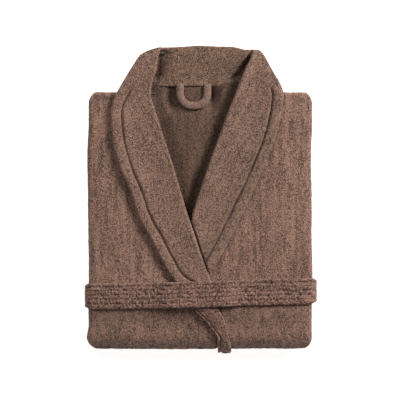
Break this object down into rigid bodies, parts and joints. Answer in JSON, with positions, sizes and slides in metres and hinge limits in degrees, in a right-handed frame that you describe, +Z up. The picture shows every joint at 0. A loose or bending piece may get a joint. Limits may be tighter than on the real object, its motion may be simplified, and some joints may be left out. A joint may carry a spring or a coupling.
{
  "type": "folded bathrobe",
  "caption": "Folded towelling bathrobe with a shawl collar, patch pockets and a hanging loop, held in a flat pack by its own wrapped tie belt.",
  "frame": {"origin": "middle of the pack's footprint, on the surface it lies on", "axes": "+X to the viewer's right over the front, +Y from the bottom fold to the collar, +Z up out of the front"},
  "size_m": [0.3738, 0.491, 0.0772],
  "materials": {
    "body_terry": "matte cotton terry with a short brushed pile",
    "inside_terry": "matte cotton terry, looped side",
    "collar_terry": "matte cotton terry, doubled and padded",
    "belt_terry": "matte terry with lengthwise stitched rows",
    "loop_terry": "flat stitched terry tape",
    "pocket_terry": "matte cotton terry",
    "cuff_terry": "matte cotton terry, turned back",
    "sleeve_terry": "matte cotton terry",
    "belt_loop": "flat woven cotton tape"
  },
  "bodies": {
    "robe": {"back_panel": "inside_terry", "front_left": "body_terry", "front_right": "body_terry", "front_band_left": "collar_terry", "collar_neck_left": "collar_terry", "front_band_right": "collar_terry", "collar_neck_right": "collar_terry", "collar_back": "collar_terry", "sleeve_left": "sleeve_terry", "cuff_left": "cuff_terry", "pocket_hem_left": "pocket_terry", "pocket_left": "pocket_terry", "belt_loop_left": "belt_loop", "sleeve_right": "sleeve_terry", "cuff_right": "cuff_terry", "pocket_hem_right": "pocket_terry", "pocket_right": "pocket_terry", "belt_loop_right": "belt_loop"},
    "belt": {"belt": "belt_terry"},
    "belt_tail": {"belt_tail": "belt_terry"},
    "hanging_loop": {"hanging_loop": "loop_terry"},
    "lapel_left": {"lapel_left": "collar_terry", "under_collar_left": "collar_terry"},
    "lapel_right": {"lapel_right": "collar_terry", "under_collar_right": "collar_terry"}
  },
  "joints": [
    {"name": "belt_slide", "type": "slide", "parent": "robe", "child": "belt", "axis": [0, -1, 0], "range_m": [0, 0.125]},
    {"name": "tail_swing", "type": "hinge", "parent": "belt", "child": "belt_tail", "pos_m": [0.0092, -0.1718, 0.0696], "axis": [-1, 0, 0], "range_deg": [0, 90]},
    {"name": "loop_swing", "type": "hinge", "parent": "robe", "child": "hanging_loop", "pos_m": [-0.0108, 0.1825, 0.0616], "axis": [-1, 0, 0], "range_deg": [0, 130]},
    {"name": "lapel_left_lift", "type": "hinge", "parent": "robe", "child": "lapel_left", "pos_m": [-0.08085, 0.17381, 0.0722], "axis": [-0.3084, 0.9513, 0], "range_deg": [0, 60]},
    {"name": "lapel_right_lift", "type": "hinge", "parent": "robe", "child": "lapel_right", "pos_m": [0.05296, 0.175, 0.0722], "axis": [-0.3329, -0.9429, 0], "range_deg": [0, 60]}
  ]
}
